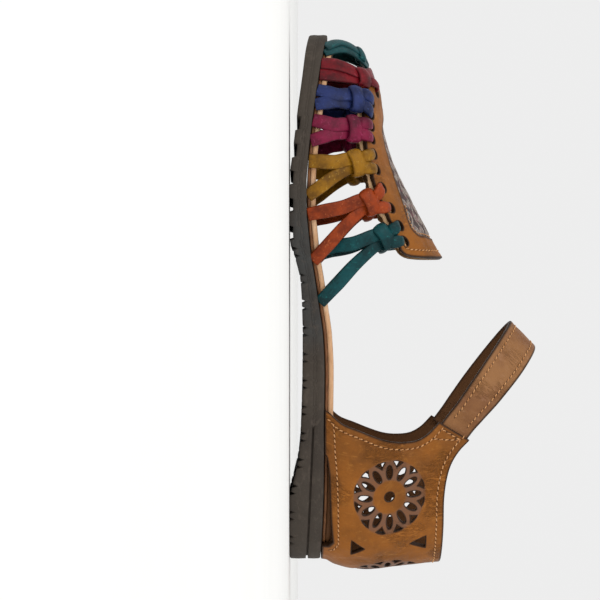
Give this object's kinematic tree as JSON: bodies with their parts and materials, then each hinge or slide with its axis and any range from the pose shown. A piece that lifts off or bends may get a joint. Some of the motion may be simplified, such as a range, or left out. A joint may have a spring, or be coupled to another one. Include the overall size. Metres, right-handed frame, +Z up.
{
  "type": "huarache sandal",
  "caption": "Flat laced leather sandal with a vamp panel tied to the sole by coloured thongs, a cut-out heel counter and an ankle strap.",
  "frame": {"origin": "on the ground under the middle of the sandal's own box", "axes": "+X towards the toe, +Y towards the inner side of the foot, +Z up"},
  "size_m": [0.2542, 0.0872, 0.1172],
  "materials": {
    "sole_rubber": "matt moulded, dusty",
    "insole_leather": "raw cut edge, smooth top",
    "tan_leather": "semi-gloss, burnished edges",
    "lining_leather": "undyed, matt",
    "inlay_leather": "tooled, stained and sealed",
    "thread": "waxed stitching thread",
    "teal_leather": "dyed, semi-gloss",
    "red_leather": "dyed, semi-gloss",
    "blue_leather": "dyed, semi-gloss",
    "magenta_leather": "dyed, semi-gloss",
    "yellow_leather": "dyed, semi-gloss",
    "orange_leather": "dyed, semi-gloss"
  },
  "bodies": {
    "root": {"outsole": "sole_rubber", "insole": "insole_leather", "vamp_panel": "tan_leather", "heel_counter": "tan_leather", "ankle_strap": "tan_leather", "thong_teal_toe_loop": "teal_leather", "thong_red_toe_strap": "red_leather", "thong_blue_inner": "blue_leather", "thong_blue_outer": "blue_leather", "thong_magenta_inner": "magenta_leather", "thong_magenta_outer": "magenta_leather", "thong_yellow_inner": "yellow_leather", "thong_yellow_outer": "yellow_leather", "thong_orange_inner": "orange_leather", "thong_orange_outer": "orange_leather", "thong_teal_inner": "teal_leather", "thong_teal_outer": "teal_leather"}
  },
  "joints": []
}
